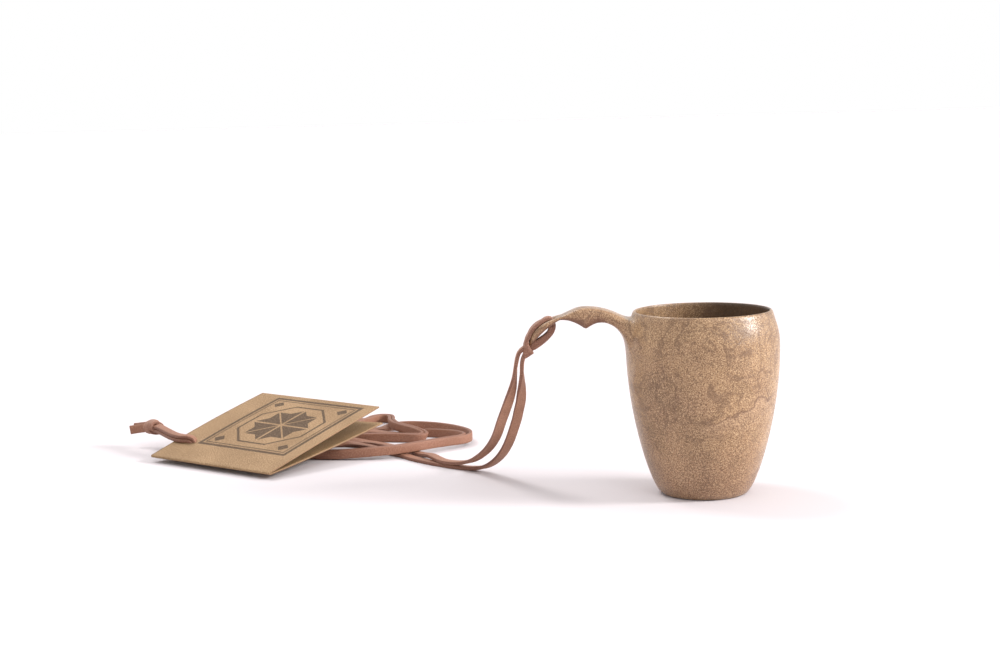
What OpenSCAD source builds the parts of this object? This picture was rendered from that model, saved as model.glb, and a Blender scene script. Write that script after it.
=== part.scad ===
// A small carved dram cup with a finger handle, its leather lace and its folded card tag.
// Millimetres, +Z up. The origin is the centre of the cup's foot, and the handle points along -X.

/* [Cup] */
// Height of the bowl, foot to rim
cup_h = 61.4; // [48:0.2:75]
// Radius of the bowl at its widest
belly_r = 25.5; // [21:0.1:31]
// Height of the widest part
belly_z = 48.8; // [40:0.2:50]
// How far the rim tucks in from the belly
rim_tuck = 2.6; // [1.5:0.1:4]
// Wall thickness at the rim
rim_t = 0.9; // [0.8:0.1:2]
// Wall thickness at the belly
wall_t = 3.3; // [2.5:0.1:4.5]
// Radius of the flat foot
foot_r = 13.9; // [11:0.1:17]
// Thickness of the floor
floor_t = 4.8; // [3:0.1:7]

/* [Handle] */
// How far the tongue's tip reaches past the belly
handle_reach = 32.6; // [30:0.1:40]
// How far the arch rises above the rim
arch_rise = 2.2; // [1:0.1:4]
// How far the finger cusp hangs below the rim
cusp_drop = 4.5; // [4:0.1:6]
// Thickness of the neck between the cusp and the tongue
neck_t = 1.9; // [1.6:0.1:3]
// How far the tongue's tip hangs below the rim
tip_drop = 10.6; // [9:0.1:13]
// Width of the handle where it leaves the bowl
root_w = 15; // [12:0.5:18]
// Width of the arch
arch_w = 9.6; // [8:0.1:12]
// Width of the neck
neck_w = 7.8; // [7:0.1:10]
// Width of the tongue
tongue_w = 9.2; // [8.4:0.1:12]
// Distance of the lace hole inside the tongue's tip, along X
hole_inset = 8.2; // [7:0.1:9]
// Tilt of the lace hole from upright
hole_tilt = 35; // [30:1:42]

/* [Lace] */
// Width of the flat leather lace
lace_w = 3.4; // [2.8:0.1:4.1]
// Thickness of the lace
lace_t = 1.3; // [1:0.1:1.6]
// Room round the doubled lace in each hole
lace_clear = 0.26; // [0.15:0.01:0.5]
// Height of the loose coil of lace
coil_h = 4.6; // [3.5:0.1:4.6]

/* [Tag] */
// Width of the folded card along its fold
tag_w = 63; // [50:0.5:76]
// Length of each leaf, fold to edge
tag_l = 61.5; // [50:0.5:74]
// Thickness of the card
card_t = 0.5; // [0.4:0.05:0.7]
// Height of the fold above the ground
fold_z = 2.4; // [2.2:0.1:3]
// Turn of the tag about the vertical
tag_turn = -37.4; // [-45:0.1:-30]
// Slope of the lower leaf
lower_tilt = 8; // [5.5:0.1:9]
// Slope of the upper leaf
upper_tilt = 14.1; // [14:0.1:30]
// Lace hole's distance from the tag's side edge
tag_hole_side = 8.7; // [8:0.1:10]
// Lace hole's distance from the fold
tag_hole_fold = 13.7; // [13:0.1:15]
// Room between the crease and the upper leaf
crease_clear = 0.15; // [0.1:0.01:0.3]

/* [Hidden] */
$fn = 96;
wood = [0.62, 0.46, 0.31];
leather = [0.74, 0.49, 0.38];
card = [0.72, 0.57, 0.39];

rim_r = belly_r - rim_tuck;
mouth_r = rim_r - rim_t;
inner_belly_r = belly_r - wall_t;
root_r = (inner_belly_r + belly_r) / 2 - 1;  // the handle starts inside the wall, short of the hollow
pair_t = 2 * lace_t;                          // two laces laid face to face
lace_hole_r = norm([lace_w, pair_t]) / 2 + lace_clear;
curve_steps = 14;                             // chords in each curved stretch of an outline
fold_at = [-200.6, 74.3, fold_z];
knot_at = [-205.3, 102.5, 8.3];
knot_r = 3.1;
knot_end_r = 2;
knot_half = 3.4;
knot_turn = 128;
tail_l = 9;
tail_turn = 166;
tail_dip = 7;

// The coil's outline is drawn round three turns of the lace: [centre, radius]
coil_turns = [[[-108.5, 98], 29], [[-141, 81], 10], [[-130, 112], 9]];

// Routes of the lace. Each row is a point on its centreline and the way its width lies there.
hitch_under_route = [
    [[-51.3, 0, 60.9], [0, 1, 0]],
    [[-49.8, 0, 58.7], [0, 1, 0]],
    [[-48.6, 0, 56.6], [0, 1, 0]],
    [[-48.8, 0, 54.3], [0, 1, 0]],
    [[-50.4, 0, 52.2], [0, 1, 0]],
    [[-53.2, 0, 50.3], [0, 1, 0]],
    [[-56, 0, 49.05], [0, 1, 0]],
    [[-58.4, 0, 48.7], [0, 1, 0]],
];
hitch_over_route = [
    [[-53.2, 0, 59.4], [0, 1, 0]],
    [[-55.8, 0, 57.6], [0, 1, 0]],
    [[-58, 0, 54.6], [0, 1, 0]],
    [[-59, 0, 51.6], [0, 1, 0]],
];
left_route = [
    [[-58.5, 0, 49.45], [0, 1, 0]],
    [[-61.3, 0, 47.8], [0, 1, 0]],
    [[-62.4, 0, 44.5], [0, 1, 0]],
    [[-62.8, 1.5, 40.5], [0.1, 1, 0.1]],
    [[-63.6, 4.5, 35.8], [0.1, 1, 0.2]],
    [[-64.9, 8, 31], [0.15, 1, 0.3]],
    [[-66.2, 11, 27], [0.15, 1, 0.35]],
    [[-67.5, 14.5, 23], [0.15, 1, 0.4]],
    [[-69.6, 21, 16.3], [0.2, 1, 0.4]],
    [[-72.8, 30, 10.1], [0.3, 1, 0.4]],
    [[-77.2, 38.5, 5.2], [0.6, 1, 0.2]],
    [[-81, 43.5, 3.1], [0.9, 1, 0]],
    [[-85, 47.6, 2.2], [0.9, 1, 0]],
    [[-89, 51.2, 2.1], [1, 0.9, 0]],
    [[-92, 56.6, 2.3], [1, 0.7, 0]],
    [[-94.4, 62.5, 2.1], [1, 0.5, 0]],
    [[-98.5, 72, 0.8], [1, 0.4, 0]],
];
right_route = [
    [[-58.4, 0, 48.1], [0, 1, 0]],
    [[-60.1, 0, 45.6], [0, 1, 0]],
    [[-60.4, 0.8, 42.5], [0, 1, 0]],
    [[-60.4, 2.5, 39], [0.1, 1, 0.1]],
    [[-60.5, 5, 35], [0.1, 1, 0.2]],
    [[-60.8, 8, 31], [0.15, 1, 0.3]],
    [[-61.6, 11, 27], [0.15, 1, 0.35]],
    [[-62.5, 14.5, 22.8], [0.15, 1, 0.4]],
    [[-65.3, 22, 13.8], [0.2, 1, 0.4]],
    [[-68.6, 30, 7.3], [0.3, 1, 0.4]],
    [[-73.2, 38, 2.6], [0.6, 1, 0.2]],
    [[-79, 43.8, 0.8], [0.9, 1, 0]],
    [[-86, 48.9, 0.7], [0.9, 1, 0]],
    [[-93.6, 56, 0.7], [1, 1, 0]],
    [[-100.5, 64, 0.7], [1, 0.8, 0]],
    [[-104.8, 70.4, 0.7], [1, 0.6, 0]],
];
bight_route = [
    [[-106.8, 120, 1.8], [0, 0, 1]],
    [[-109, 127.5, 1.8], [0, 0, 1]],
    [[-111.5, 135, 1.8], [0, 0, 1]],
    [[-113.3, 141.5, 1.8], [0, 0, 1]],
    [[-115.8, 145.6, 1.8], [0, 0, 1]],
    [[-119.8, 145.2, 1.8], [0, 0, 1]],
    [[-122.4, 140.5, 1.8], [0, 0, 1]],
    [[-124.6, 132, 1.8], [0, 0, 1]],
    [[-126.8, 123.5, 1.8], [0, 0, 1]],
    [[-128.4, 117.5, 1.8], [0, 0, 1]],
];
to_tag_route = [
    [[-136, 108, 1.9], [0.5, 1, 0]],
    [[-146, 102, 1.7], [0.5, 1, 0]],
    [[-155, 96.6, 1.5], [0.5, 1, 0]],
    [[-164, 91.3, 1.4], [0.5, 1, 0]],
    [[-173, 86.1, 1.4], [0.5, 1, 0]],
    [[-180, 82.4, 1.4], [0.4, 1, 0]],
    [[-185.4, 79.9, 1.6], [0.3, 1, 0]],
    [[-185.4, 79.8, 4.2], [0.3, 1, 0]],
];
over_tag_route = [
    [[-185.6, 79.6, 6.1], [0.1, 1, 0]],
    [[-185.9, 79.6, 7.7], [0.1, 1, 0]],
    [[-189.6, 80.4, 7.6], [0.4, 1, 0]],
    [[-193.5, 84, 7.9], [0.9, 1, 0]],
    [[-198.4, 91.8, 8.4], [1, 0.6, 0]],
    [[-203.8, 100.4, 8.5], [1, 0.6, 0]],
];

function bezier(p, steps) = [
    for (i = [0:steps - 1])
        let (t = i / steps, s = 1 - t)
            s^3 * p[0] + 3 * s^2 * t * p[1] + 3 * s * t^2 * p[2] + t^3 * p[3]
];
function curves(list) = [for (p = list, q = bezier(p, curve_steps)) q];
function reversed(p) = [for (i = [len(p) - 1:-1:0]) p[i]];

// Half of the bowl's section: up the outside, over the rim, down the inside.
outside = curves([
    [[foot_r, 0], [foot_r + 3.5, 0.4], [belly_r, belly_z - 22], [belly_r, belly_z]],
    [[belly_r, belly_z], [belly_r, belly_z + 5.9], [rim_r + 0.8, cup_h - 2], [rim_r, cup_h]],
]);
inside = curves([
    [[foot_r - 4.9, floor_t], [foot_r + 1.6, floor_t + 0.4],
        [inner_belly_r, belly_z - 22], [inner_belly_r, belly_z - 1]],
    [[inner_belly_r, belly_z - 1], [inner_belly_r, belly_z + 5], [mouth_r, cup_h - 4], [mouth_r, cup_h]],
]);
bowl_section = concat([[0, 0]], outside, [[rim_r, cup_h], [mouth_r, cup_h]], reversed(inside), [[0, floor_t]]);

// The handle's side view, in [reach past the belly, height above the rim].
root = root_r - belly_r;
peak = [13.5, arch_rise];
neck_top = [21, -0.4];
neck_under = [22.1, -0.4 - neck_t + 0.2];
tip_top = [handle_reach - 0.5, -tip_drop];
tip_under = [handle_reach - 1.3, -tip_drop - 0.4];
cusp = [13.3, -cusp_drop];
saddle = [7.5, -3.1];
handle_side = concat(
    curves([
        [[root, -2.8], [2.5, 0.2], [8, arch_rise], peak],
        [peak, peak + [3.5, 0], [18, 0.7], neck_top],
        [neck_top, neck_top + [4.8, -1.4], tip_top + [-0.6, 6.6], tip_top],
        [tip_top, tip_top + [0, -0.5], tip_under + [0.4, -0.2], tip_under],
        [tip_under, tip_under + [-1.8, 2.8], neck_under + [3.9, -2.3], neck_under],
        [neck_under, neck_under + [-2.6, 0.9], cusp + [2.7, 1.7], cusp],
        [cusp, cusp + [-2.2, 1.6], saddle + [1.9, 0.3], saddle],
        [saddle, [4, -3.5], [0.7, -6.6], [-0.2, -10.9]],
    ]),
    [[-0.2, -10.9], [root, -10.9]]
);
// Half of the handle's plan, in [reach past the belly, distance from the middle].
handle_half_plan = concat(
    curves([
        [[root, root_w / 2], [0, arch_w / 2 + 1], [6, arch_w / 2], [peak[0], arch_w / 2]],
        [[peak[0], arch_w / 2], [17, arch_w / 2], [18.5, neck_w / 2], [neck_top[0] + 1, neck_w / 2]],
        [[neck_top[0] + 1, neck_w / 2], [24, neck_w / 2], [24.5, tongue_w / 2],
            [handle_reach - 6, tongue_w / 2]],
        [[handle_reach - 6, tongue_w / 2], [handle_reach - 2.5, tongue_w / 2],
            [handle_reach, 3], [handle_reach, 0]],
    ]),
    [[handle_reach, 0]]
);

module bowl() {
    rotate_extrude() polygon(bowl_section);
}

module handle() {
    plan = [for (p = handle_half_plan) [-belly_r - p[0], p[1]]];
    side = [for (p = handle_side) [-belly_r - p[0], cup_h + p[1]]];
    intersection() {
        translate([0, arch_w * 2, 0]) rotate([90, 0, 0]) linear_extrude(arch_w * 4) polygon(side);
        translate([0, 0, cup_h - tip_drop * 2]) linear_extrude(tip_drop * 3)
            polygon(concat(plan, reversed([for (p = plan) [p[0], -p[1]]])));
    }
}

module cup() {
    color(wood) difference() {
        union() {
            bowl();
            handle();
        }
        translate([-belly_r - handle_reach + hole_inset, 0, cup_h - 2.6])
            rotate([0, -hole_tilt, 0]) cylinder(h = 12, r = lace_hole_r, center = true);
    }
}

// A flat strap swept along a route, its width lying the way each row says.
function unit(v) = v / norm(v);
function heading(route, i) =
    i == 0 ? unit(route[1][0] - route[0][0])
    : i == len(route) - 1 ? unit(route[i][0] - route[i - 1][0])
    : unit(unit(route[i][0] - route[i - 1][0]) + unit(route[i + 1][0] - route[i][0]));
function strap_section(w, t) = let (x = w / 2, y = t / 2, c = t / 5) [
    [-x, c - y], [c - x, -y], [x - c, -y], [x, c - y],
    [x, y - c], [x - c, y], [c - x, y], [-x, y - c]
];
function strap_ring(route, i, w, t) =
    let (
        ahead = heading(route, i),
        across = unit(route[i][1] - (route[i][1] * ahead) * ahead),
        up = cross(ahead, across)
    )
    [for (s = strap_section(w, t)) route[i][0] + s[0] * across + s[1] * up];

module strap(route, w, t) {
    sides = len(strap_section(w, t));
    last = (len(route) - 1) * sides;
    polyhedron(
        points = [for (i = [0:len(route) - 1], p = strap_ring(route, i, w, t)) p],
        faces = concat(
            [[for (j = [0:sides - 1]) j]],
            [for (i = [0:len(route) - 2], j = [0:sides - 1], half = [0, 1])
                let (a = i * sides + j, b = i * sides + (j + 1) % sides)
                    half == 0 ? [a, a + sides, b + sides] : [a, b + sides, b]],
            [[for (j = [sides - 1:-1:0]) last + j]]
        )
    );
}

module lace_hitch() {
    color(leather) {
        strap(hitch_under_route, lace_w, pair_t);
        strap(hitch_over_route, 2 * lace_w, lace_t);
    }
}

module lace_left() {
    color(leather) strap(left_route, lace_w, lace_t);
}

module lace_right() {
    color(leather) strap(right_route, lace_w, lace_t);
}

module lace_coil() {
    color(leather) linear_extrude(coil_h) hull() {
        for (turn = coil_turns) translate(turn[0]) circle(turn[1]);
    }
}

module lace_bight() {
    color(leather) strap(bight_route, lace_w, pair_t);
}

module lace_to_tag() {
    color(leather) strap(to_tag_route, lace_w, pair_t);
}

module lace_over_tag() {
    color(leather) strap(over_tag_route, lace_w, pair_t);
}

module on_fold(tilt) {
    translate(fold_at) rotate([0, 0, tag_turn]) rotate([tilt, 0, 0]) children();
}

// One leaf, from start to its free edge, with its underside at height z over the fold's axis.
module leaf(start, z) {
    difference() {
        translate([0, start, z]) cube([tag_w, tag_l - start, card_t]);
        translate([tag_hole_side, tag_hole_fold, z - 1]) cylinder(h = card_t + 2, r = lace_hole_r);
    }
}

module tag_lower_leaf() {
    color(card) on_fold(lower_tilt) {
        leaf(0, -card_t - 0.02);
        rotate([0, 90, 0]) cylinder(h = tag_w, r = card_t);
    }
}

module tag_upper_leaf() {
    color(card) on_fold(upper_tilt) leaf(card_t + crease_clear, 0.02);
}

module end_knot() {
    profile = curves([[[knot_end_r, -knot_half], [knot_r, -knot_half], [knot_r, -1.5], [knot_r, 0]],
        [[knot_r, 0], [knot_r, 1.5], [knot_r, knot_half], [knot_end_r, knot_half]]]);
    color(leather) translate(knot_at) rotate([0, 90, knot_turn]) rotate_extrude()
        polygon(concat([[0, -knot_half]], profile, [[knot_end_r, knot_half], [0, knot_half]]));
}

module lace_ends() {
    color(leather) for (side = [0, 1])
        translate(knot_at + [-1.5, 1, side * (lace_t + 0.1) - lace_t])
            rotate([0, tail_dip, tail_turn + 6 * side])
                translate([0, -lace_w / 2, 0]) cube([tail_l - 1.5 * side, lace_w, lace_t]);
}

cup();
lace_hitch();
lace_left();
lace_right();
lace_coil();
lace_bight();
lace_to_tag();
tag_lower_leaf();
tag_upper_leaf();
lace_over_tag();
end_knot();
lace_ends();
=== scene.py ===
# %% [markdown]
# # A small dram cup with a finger handle, its leather lace and a folded card tag
# The imported model is loaded first, as a fixed frame. Every piece made below takes its place from
# that frame, in metres; the cup and the knot ride on its bodies.

# %% Load the frame
import bpy, bmesh, math
from mathutils import Matrix, Vector


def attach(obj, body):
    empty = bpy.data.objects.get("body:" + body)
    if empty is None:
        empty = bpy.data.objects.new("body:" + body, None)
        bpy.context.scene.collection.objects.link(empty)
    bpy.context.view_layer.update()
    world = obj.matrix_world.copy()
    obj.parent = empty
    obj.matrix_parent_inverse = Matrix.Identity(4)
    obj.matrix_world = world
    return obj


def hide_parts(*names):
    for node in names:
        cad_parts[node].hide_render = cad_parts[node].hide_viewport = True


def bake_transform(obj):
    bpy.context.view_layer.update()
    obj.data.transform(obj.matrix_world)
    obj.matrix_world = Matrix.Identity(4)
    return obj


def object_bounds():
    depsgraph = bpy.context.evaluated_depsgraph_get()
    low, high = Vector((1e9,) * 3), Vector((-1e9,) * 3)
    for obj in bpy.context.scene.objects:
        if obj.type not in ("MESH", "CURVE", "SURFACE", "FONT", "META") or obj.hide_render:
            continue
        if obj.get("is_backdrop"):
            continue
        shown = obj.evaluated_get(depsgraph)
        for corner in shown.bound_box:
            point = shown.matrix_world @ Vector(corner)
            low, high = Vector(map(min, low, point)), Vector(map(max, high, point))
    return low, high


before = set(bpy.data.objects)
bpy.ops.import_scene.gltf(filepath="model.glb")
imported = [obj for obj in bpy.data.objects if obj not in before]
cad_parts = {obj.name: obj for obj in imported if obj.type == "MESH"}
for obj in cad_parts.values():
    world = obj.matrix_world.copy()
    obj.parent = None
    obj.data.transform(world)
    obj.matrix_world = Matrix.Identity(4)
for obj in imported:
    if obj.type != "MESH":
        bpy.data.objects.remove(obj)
cad_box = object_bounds()
scene = bpy.context.scene

# %% [markdown]
# ## The camera
# The cup stands a little right of the middle and is seen from slightly above, with a longish lens,
# so its rim is a thin ellipse. A camera is placed by its matrix: first the roll about its own line
# of sight, then the pitch, then its place.

# %% Camera
CAMERA_AT = (-.0672, -.55, .12625)
DOWNWARD, ROLL = math.radians(7.317), math.radians(-1.537)
lens = bpy.data.cameras.new("camera")
lens.sensor_width = 36
lens.lens = 60.14
camera = bpy.data.objects.new("camera", lens)
camera.matrix_world = (
    Matrix.Translation(CAMERA_AT)
    @ Matrix.Rotation(math.pi / 2 - DOWNWARD, 4, "X")
    @ Matrix.Rotation(ROLL, 4, "Z")
)
scene.collection.objects.link(camera)
scene.camera = camera
sight = camera.matrix_world.to_3x3() @ Vector((0, 0, -1))
print("camera looks down", round(-math.degrees(math.asin(sight.z)), 2), "degrees")

# %% [markdown]
# ## The leather lace
# One flat strip of leather, 3.4 mm wide and 1.3 mm thick, is doubled and hitched through the handle.
# Its two halves run side by side, down to the table, round a loose coil, up through the tag and into
# one knot. A curve with a bevel would twist a flat strip by itself, so each half is swept by hand: a
# row holds a point on its middle line and the way that its width lies there.

# %% Points along a lace
LACE_WIDTH, LACE_THICKNESS = .0034, .0013
PAIR_GAP = .0015


def through(rows, step=.0009):
    """Points a step apart on a smooth line through the rows, each with its width direction."""
    rows = [(Vector(r[:3]), Vector(r[3:6]).normalized()) for r in rows]
    rows = [rows[0]] + rows + [rows[-1]]
    line = []
    for a, b, c, d in zip(rows, rows[1:], rows[2:], rows[3:]):
        parts = max(2, round((c[0] - b[0]).length / step))
        for i in range(parts):
            t = i / parts
            weights = (-t + 2*t*t - t**3, 2 - 5*t*t + 3*t**3, t + 4*t*t - 3*t**3, t**3 - t*t)
            shares = list(zip(weights, (a, b, c, d)))
            line.append([sum((k * row[n] for k, row in shares), Vector()) / 2 for n in (0, 1)])
    return line + [list(rows[-1])]


def facing(line):
    """Each point with its width direction square to the line, and the strip's own normal."""
    out = []
    for i, (p, w) in enumerate(line):
        ahead = (line[min(i + 1, len(line) - 1)][0] - line[max(i - 1, 0)][0]).normalized()
        across = (w - w.dot(ahead) * ahead).normalized()
        out.append((p, across, ahead.cross(across)))
    return out


print("lace", LACE_WIDTH * 1000, "by", LACE_THICKNESS * 1000, "mm")

# %% [markdown]
# The strip itself is a grid. Each of its columns takes one place on the strip's outline and each of
# its rows one point of the line, so the flat grid is rolled into a tube with slightly rounded edges.
# Its UV map is in metres, round the strip and along it, and nothing goes below the table.

# %% Sweeping a flat strip
HALF_GIRTH = LACE_WIDTH + LACE_THICKNESS
STRIP_EDGE = [(-1, -.5), (-.96, -.82), (-.82, -1), (-.3, -1), (.3, -1), (.82, -1), (.96, -.82), (1, -.5)]
STRIP_EDGE += [(-x, -y) for x, y in STRIP_EDGE]


def grid_place(co, columns, rows):
    """The column and row of a corner of a grid that create_grid made two units wide."""
    return round((co.x + 1) / 2 * columns), round((co.y + 1) / 2 * rows)


def finished(name, bm):
    """A smooth object in the scene, made from the bmesh."""
    mesh = bpy.data.meshes.new(name)
    bm.to_mesh(mesh)
    bm.free()
    for polygon in mesh.polygons:
        polygon.use_smooth = True
    piece = bpy.data.objects.new(name, mesh)
    scene.collection.objects.link(piece)
    print(name, len(mesh.polygons), "faces")
    return piece


def strip(name, line, width=LACE_WIDTH, thickness=LACE_THICKNESS):
    """A grid rolled into a flat tube along the line, its seam merged and its ends filled."""
    bm = bmesh.new()
    uv = bm.loops.layers.uv.new("UVMap")
    around, lengthwise = len(STRIP_EDGE), len(line) - 1
    bmesh.ops.create_grid(bm, x_segments=around, y_segments=lengthwise, size=1, calc_uvs=True)
    run = [0]
    for a, b in zip(line, line[1:]):
        run.append(run[-1] + (b[0] - a[0]).length)
    for face in bm.faces:
        for loop in face.loops:
            i, j = grid_place(loop.vert.co, around, lengthwise)
            loop[uv].uv = (i / around * 2 * HALF_GIRTH, run[j])
    for v in bm.verts:
        i, j = grid_place(v.co, around, lengthwise)
        (p, across, up), (x, y) = line[j], STRIP_EDGE[i % around]
        v.co = p + across * x * width / 2 + up * y * thickness / 2
        v.co.z = max(v.co.z, 0)
    bmesh.ops.remove_doubles(bm, verts=bm.verts, dist=1e-6)
    bmesh.ops.holes_fill(bm, edges=[e for e in bm.edges if e.is_boundary], sides=0)
    bmesh.ops.recalc_face_normals(bm, faces=bm.faces)
    return finished(name, bm)


print("strip outline", len(STRIP_EDGE), "points,", round(HALF_GIRTH * 2000, 1), "mm round")

# %% [markdown]
# The halves start together in the hitch, where each comes round the tip of the tongue, up its outer
# face and down through its hole. Then they hang to the table, a little apart.

# %% Each half from the hitch to the table
RIGHT_START = [
    (-.0578, .0000, .0481, -.85, 0, -.5), (-.0579, -.0013, .0482, -.85, 0, -.5),
    (-.0582, -.0021, .0490, -.8, .4, -.1), (-.0585, -.0021, .0502, -.5, .85, 0),
    (-.0587, -.0020, .0516, -.2, 1, 0), (-.0584, -.0019, .0529, 0, 1, 0),
    (-.0577, -.0018, .0543, 0, 1, 0), (-.0565, -.0018, .0564, 0, 1, 0),
    (-.0548, -.0017, .0581, 0, 1, 0), (-.0530, -.0014, .0593, 0, 1, 0),
    (-.0515, -.0008, .0600, 0, 1, 0), (-.0502, -.0003, .0597, 0, 1, 0),
    (-.0495, 0, .0586, 0, 1, 0), (-.0493, 0, .0573, 0, 1, 0), (-.0498, 0, .0557, 0, 1, 0),
    (-.0510, 0, .0541, 0, 1, 0), (-.0531, 0, .0522, 0, 1, 0), (-.0558, 0, .0504, 0, 1, 0),
]
LEFT_START = [
    (-.0578, .0000, .0481, -.85, 0, -.5), (-.0579, .0013, .0482, -.85, 0, -.5),
    (-.0582, .0021, .0490, -.8, -.4, -.1), (-.0585, .0021, .0502, -.5, -.85, 0),
    (-.0587, .0020, .0516, -.2, -1, 0), (-.0584, .0019, .0529, 0, -1, 0),
    (-.0577, .0018, .0543, 0, -1, 0), (-.0565, .0018, .0564, 0, -1, 0),
    (-.0549, .0017, .0579, 0, -1, 0), (-.0534, .0014, .0587, 0, -1, 0),
    (-.0521, .0008, .0589, 0, -1, 0), (-.0511, .0003, .0583, 0, -1, 0),
    (-.0507, 0, .0574, 0, -1, 0), (-.0505, 0, .0564, 0, -1, 0), (-.0510, 0, .0553, 0, -1, 0),
    (-.0521, 0, .0542, 0, -1, 0), (-.0542, 0, .0528, 0, -1, 0), (-.0565, 0, .0515, 0, -1, 0),
]
LEFT_HANGING = [
    (-.0588, 0, .0506, 0, -1, 0), (-.0611, 0, .0486, 0, -1, 0), (-.0622, 0, .0447, 0, -1, 0),
    (-.0628, .0015, .0405, -.2, -1, -.1), (-.0636, .0045, .0358, -.6, -.8, 0),
    (-.0649, .008, .031, -1, -.5, 0), (-.0662, .011, .027, -1, -.3, 0),
    (-.0675, .0145, .023, -1, -.3, 0), (-.0696, .021, .0163, -1, -.4, 0),
    (-.0728, .03, .0101, -1, -.5, 0), (-.0772, .0385, .0052, -1, -.7, 0),
    (-.081, .0435, .0031, -1, -1, 0), (-.085, .0476, .0022, -.9, -1, 0),
    (-.089, .0512, .0021, -1, -.9, 0), (-.092, .0566, .0023, -1, -.7, 0),
    (-.0944, .0625, .0021, -1, -.5, 0), (-.0985, .072, .0008, -1, -.5, 0),
]
RIGHT_HANGING = [
    (-.0583, 0, .0493, 0, 1, 0), (-.0599, 0, .0463, 0, 1, 0), (-.0603, .0008, .0425, 0, 1, 0),
    (-.0604, .0025, .039, .3, 1, .1), (-.0605, .005, .035, .7, .8, 0), (-.0608, .008, .031, 1, .5, 0),
    (-.0616, .011, .027, 1, .3, 0), (-.0625, .0145, .0228, 1, .3, 0),
    (-.0653, .022, .0138, 1, .4, 0), (-.0686, .03, .0073, 1, .5, 0), (-.0732, .038, .0026, 1, .7, 0),
    (-.079, .0438, .0008, 1, 1, 0), (-.086, .0489, .0007, .9, 1, 0), (-.0936, .056, .0007, 1, 1, 0),
    (-.1005, .064, .0007, 1, .8, 0), (-.1048, .0704, .0007, 1, .6, 0),
]
print("the halves meet the table", round(LEFT_HANGING[-1][0] - RIGHT_HANGING[-1][0], 4), "m apart")

# %% [markdown]
# On the table each half makes the same loose coil, standing on its edge: a wide loop, with the two
# halves parted at the back of it, then a smaller loop that climbs over the first.

# %% Each half round the coil
def standing(points, up):
    """Rows for a stretch that stands on its edge, its width straight up (1) or down (-1)."""
    return [(*p, 0, 0, up) for p in points]


LEFT_COIL = [
    (-.1042, .0800, .0007, -1, -.6, 0), (-.1092, .0868, .0007, -1, -.7, 0),
    (-.1144, .0930, .0007, -1, -.9, 0), (-.1205, .0975, .0008, -.8, -1, -.1),
    (-.1275, .0985, .0013, -.2, -.8, -.7),
] + standing([
    (-.1345, .0965, .0018), (-.1412, .0925, .0018), (-.1470, .0870, .0018), (-.1488, .0803, .0018),
    (-.1455, .0745, .0018), (-.1385, .0710, .0019), (-.1300, .0686, .0021), (-.1225, .0674, .0026),
    (-.1150, .0672, .0031), (-.1075, .0690, .0033), (-.1005, .0735, .0033), (-.0945, .0788, .0032),
    (-.0885, .0832, .0031), (-.0833, .0868, .0030), (-.0802, .0918, .0029), (-.0800, .0995, .0027),
    (-.0828, .1085, .0023), (-.0880, .1170, .0020), (-.0945, .1235, .0018), (-.1015, .1268, .0018),
    (-.1082, .1275, .0018),
], -1) + [
    (-.1130, .1268, .0012, .3, -.4, -.8), (-.1175, .1260, .0007, .1, -1, -.1),
    (-.1230, .1253, .0007, .1, -1, 0), (-.1288, .1240, .0008, .2, -1, -.2),
    (-.1340, .1214, .0014, .3, -.5, -.8),
] + standing([
    (-.1382, .1172, .0018), (-.1398, .1112, .0018), (-.1372, .1056, .0018), (-.1310, .1030, .0018),
    (-.1225, .1026, .0018), (-.1140, .1018, .0018),
], -1) + [
    (-.1065, .1002, .0018, -.2, 0, -1), (-.1010, .0992, .0018, -.4, .3, -1),
    (-.0980, .1013, .0018, -.5, 0, -1), (-.0985, .1052, .0021, -.3, -.1, -1),
    (-.1022, .1098, .0028, 0, 0, -1), (-.1068, .1152, .0031, 0, 0, -1),
]
RIGHT_COIL = [
    (-.1100, .0765, .0007, 1, .6, 0), (-.1150, .0840, .0007, 1, .7, 0),
    (-.1203, .0905, .0007, 1, .9, 0), (-.1262, .0942, .0009, .8, 1, .2),
    (-.1322, .0945, .0015, .2, .7, .8),
] + standing([
    (-.1385, .0920, .0018), (-.1430, .0882, .0018), (-.1464, .0838, .0018), (-.1472, .0797, .0018),
    (-.1444, .0756, .0018), (-.1382, .0726, .0019), (-.1300, .0701, .0021), (-.1225, .0689, .0026),
    (-.1152, .0687, .0031), (-.1081, .0704, .0033), (-.1014, .0747, .0033), (-.0955, .0799, .0032),
    (-.0896, .0844, .0031), (-.0848, .0880, .0030), (-.0824, .0925, .0029), (-.0838, .0982, .0026),
    (-.0880, .1045, .0021), (-.0930, .1083, .0018),
], 1) + [
    (-.0980, .1103, .0016, -.1, .3, 1), (-.1030, .1118, .0008, -.3, 1, .3),
    (-.1085, .1138, .0007, -.4, 1, 0), (-.1145, .1172, .0007, -.4, 1, 0),
    (-.1205, .1208, .0008, -.3, 1, .2), (-.1262, .1216, .0014, -.1, .5, .8),
] + standing([
    (-.1318, .1200, .0018), (-.1365, .1162, .0018), (-.1382, .1112, .0018), (-.1360, .1068, .0018),
    (-.1306, .1046, .0018), (-.1225, .1042, .0018), (-.1141, .1034, .0018),
], 1) + [
    (-.1068, .1018, .0018, .2, 0, 1), (-.1018, .1009, .0018, .4, -.3, 1), (-.0997, .1021, .0018, .5, 0, 1),
    (-.1000, .1048, .0021, .3, .1, 1), (-.1034, .1089, .0028, 0, 0, 1), (-.1080, .1143, .0031, 0, 0, 1),
]
print("coil rows", len(LEFT_COIL), len(RIGHT_COIL))

# %% [markdown]
# From there the halves keep together, face to face: back to a bight behind the coil, over the loops
# and under the tag, up through the holes of its two leaves, through the knot and out as two tails.
# One table of rows serves both, and each half lies half a gap to its side of it.

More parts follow.
